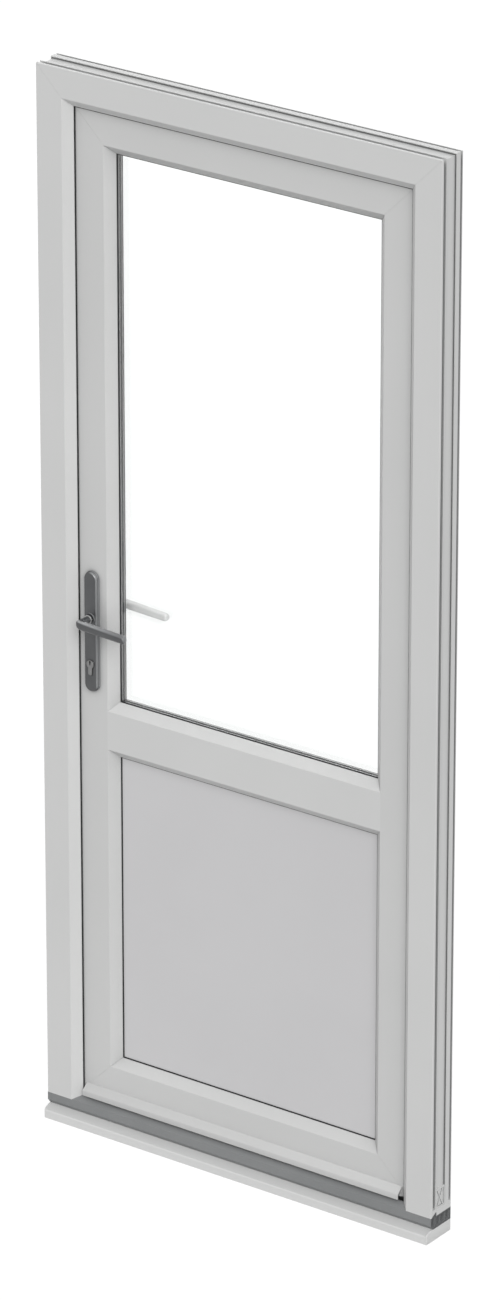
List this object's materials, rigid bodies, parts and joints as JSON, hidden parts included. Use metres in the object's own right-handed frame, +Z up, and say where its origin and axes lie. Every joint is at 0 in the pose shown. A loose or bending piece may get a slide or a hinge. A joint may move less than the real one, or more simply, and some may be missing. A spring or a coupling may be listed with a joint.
{
  "type": "upvc back door",
  "caption": "Half-glazed white uPVC back door in its outer frame, with cill, low threshold, hinges and lever handles; opens inward.",
  "frame": {"origin": "on the underside of the cill, at mid width, below the outer frame's outside face", "axes": "+X right as seen from outside, +Y into the building, +Z up"},
  "size_m": [0.884, 0.1485, 2.109],
  "materials": {
    "white_profile": "smooth white uPVC with a slight satin sheen",
    "white_cill": "smooth white uPVC",
    "grey_threshold": "mid grey, fine matt",
    "black_gasket": "black matt rubber",
    "satin_steel": "satin",
    "clear_glass": "clear float glass",
    "spacer_aluminium": "mill finish with small perforations",
    "panel_skin": "smooth white",
    "grey_handle": "dark grey satin powder coat",
    "white_hardware": "white powder coat"
  },
  "bodies": {
    "outer_frame": {"cill": "white_cill", "cill_end_cap_left": "white_cill", "cill_end_cap_right": "white_cill", "threshold": "grey_threshold", "threshold_seal": "black_gasket", "lock_jamb_foot": "white_profile", "hinge_jamb_foot": "white_profile", "lock_jamb": "white_profile", "hinge_jamb": "white_profile", "frame_head": "white_profile", "frame_gasket": "black_gasket", "latch_keep": "satin_steel", "upper_hook_keep": "satin_steel", "lower_hook_keep": "satin_steel", "lower_hinge_frame_half": "white_hardware", "middle_hinge_frame_half": "white_hardware", "upper_hinge_frame_half": "white_hardware"},
    "door_leaf": {"lock_stile": "white_profile", "hinge_stile": "white_profile", "top_rail": "white_profile", "mid_rail": "white_profile", "bottom_rail": "white_profile", "upper_beads": "white_profile", "lower_beads": "white_profile", "outer_pane": "clear_glass", "inner_pane": "clear_glass", "spacer_bar": "spacer_aluminium", "upper_outer_gasket": "black_gasket", "upper_inner_gasket": "black_gasket", "lower_outer_gasket": "black_gasket", "lower_inner_gasket": "black_gasket", "lower_panel": "panel_skin", "sash_gasket": "black_gasket", "weather_bar": "white_profile", "outside_handle_plate": "grey_handle", "inside_handle_plate": "white_hardware", "euro_cylinder": "satin_steel", "lock_faceplate": "satin_steel", "lock_bolts": "satin_steel", "lower_hinge_leaf_half": "white_hardware", "middle_hinge_leaf_half": "white_hardware", "upper_hinge_leaf_half": "white_hardware"},
    "handle_set": {"outside_lever": "grey_handle", "inside_lever": "white_hardware", "handle_spindle": "satin_steel"}
  },
  "joints": [
    {"name": "door_swing", "type": "hinge", "parent": "outer_frame", "child": "door_leaf", "pos_m": [0.404, 0.089, 1.054], "axis": [0, 0, -1], "range_deg": [0, 90]},
    {"name": "handle_turn", "type": "hinge", "parent": "door_leaf", "child": "handle_set", "pos_m": [-0.3384, 0.05, 1.049], "axis": [0, 1, 0], "range_deg": [-40, 40], "stiffness_Nm_per_rad": 1.2}
  ]
}
